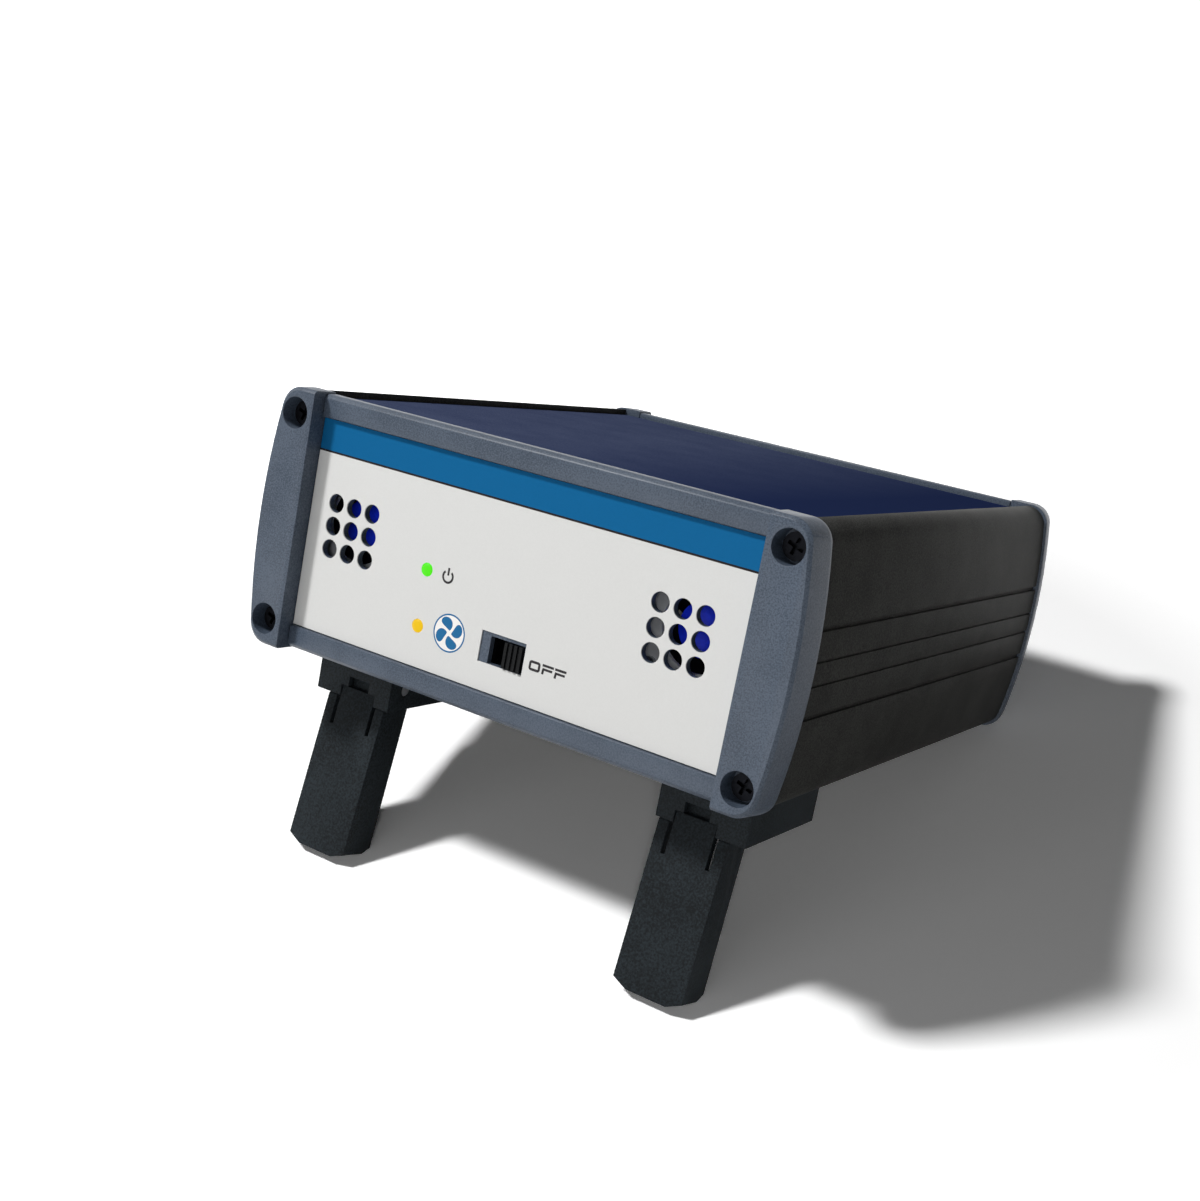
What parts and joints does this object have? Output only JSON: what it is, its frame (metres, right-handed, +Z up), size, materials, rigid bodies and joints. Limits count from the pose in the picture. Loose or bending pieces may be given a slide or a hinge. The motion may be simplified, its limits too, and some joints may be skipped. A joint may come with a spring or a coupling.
{
  "type": "ionizing blower",
  "caption": "Bench-top ionizing blower in an instrument case on fold-out front legs, with fans behind its front vents, lamps and a slide switch.",
  "frame": {"origin": "on the table, under the middle of the part's bounding box as it stands on its open legs", "axes": "+X to the right as seen from the front, +Y from the front towards the rear, +Z up from the table; the case is tipped up at the front by its legs"},
  "size_m": [0.1404, 0.1658, 0.107],
  "materials": {
    "section_plastic": "fine-grained moulded case plastic, dark grey",
    "cover_plastic": "fine-grained moulded case plastic, dark slate blue",
    "frame_plastic": "fine-grained moulded plastic, slate grey",
    "label_film": "printed polycarbonate film, pale grey with a blue band",
    "leg_plastic": "grained moulded plastic, near black",
    "black_steel": "black-oxide steel screws",
    "bright_steel": "zinc-plated steel",
    "zinc_sheet": "zinc-plated sheet steel",
    "fan_plastic": "moulded black plastic",
    "blue_plastic": "glossy royal blue moulded plastic",
    "ring_plastic": "ivory insulating plastic",
    "needle_steel": "ground needle points",
    "green_lamp": "lit green lamp",
    "amber_lamp": "lit amber lamp",
    "switch_plastic": "moulded black plastic",
    "circuit_board": "green solder mask",
    "brass": "turned brass",
    "potting": "black potting resin",
    "component": "mixed electronic components"
  },
  "bodies": {
    "case": {"side_section_left": "section_plastic", "side_section_right": "section_plastic", "top_cover": "cover_plastic", "bottom_cover": "section_plastic", "front_post_left": "frame_plastic", "front_post_right": "frame_plastic", "front_top_bar": "frame_plastic", "front_bottom_bar": "frame_plastic", "rear_post_left": "frame_plastic", "rear_post_right": "frame_plastic", "rear_top_bar": "frame_plastic", "rear_bottom_bar": "frame_plastic", "front_panel": "frame_plastic", "front_label": "label_film", "rear_panel": "frame_plastic", "front_screws": "black_steel", "rear_screws": "black_steel", "leg_bracket_left": "leg_plastic", "leg_bracket_right": "leg_plastic", "leg_pin_left": "bright_steel", "leg_pin_right": "bright_steel", "leg_bracket_screws": "bright_steel", "fan_bracket_left": "zinc_sheet", "fan_bracket_right": "zinc_sheet", "fan_bracket_screws": "bright_steel", "fan_frame_left": "fan_plastic", "fan_frame_right": "fan_plastic", "emitter_ring_left": "ring_plastic", "emitter_ring_right": "ring_plastic", "emitter_needles_left": "needle_steel", "emitter_needles_right": "needle_steel", "fan_screws": "bright_steel", "led_power": "green_lamp", "led_fan": "amber_lamp", "switch_body": "switch_plastic", "control_board": "circuit_board", "control_spacers": "brass", "control_screws": "bright_steel", "main_board": "circuit_board", "main_spacers": "brass", "main_screws": "bright_steel", "high_voltage_module": "potting", "board_parts": "component", "dc_jack": "switch_plastic"},
    "leg_left": {"leg_left": "leg_plastic"},
    "leg_right": {"leg_right": "leg_plastic"},
    "knob": {"switch_knob": "switch_plastic"},
    "rotor_left": {"fan_rotor_left": "blue_plastic"},
    "rotor_right": {"fan_rotor_right": "blue_plastic"}
  },
  "joints": [
    {"name": "leg_left_hinge", "type": "hinge", "parent": "case", "child": "leg_left", "pos_m": [-0.0466, -0.05707, 0.03648], "axis": [1, 0, 0], "range_deg": [0, 100.4]},
    {"name": "leg_right_hinge", "type": "hinge", "parent": "case", "child": "leg_right", "pos_m": [0.0466, -0.05707, 0.03648], "axis": [1, 0, 0], "range_deg": [0, 100.4]},
    {"name": "switch_slide", "type": "slide", "parent": "case", "child": "knob", "axis": [-1, 0, 0], "range_m": [0, 0.004]},
    {"name": "rotor_left_spin", "type": "hinge", "parent": "case", "child": "rotor_left", "pos_m": [-0.05, -0.05306, 0.07469], "axis": [0, 0.9388, -0.3444], "continuous": true},
    {"name": "rotor_right_spin", "type": "hinge", "parent": "case", "child": "rotor_right", "pos_m": [0.0411, -0.05306, 0.07469], "axis": [0, 0.9388, -0.3444], "continuous": true}
  ]
}
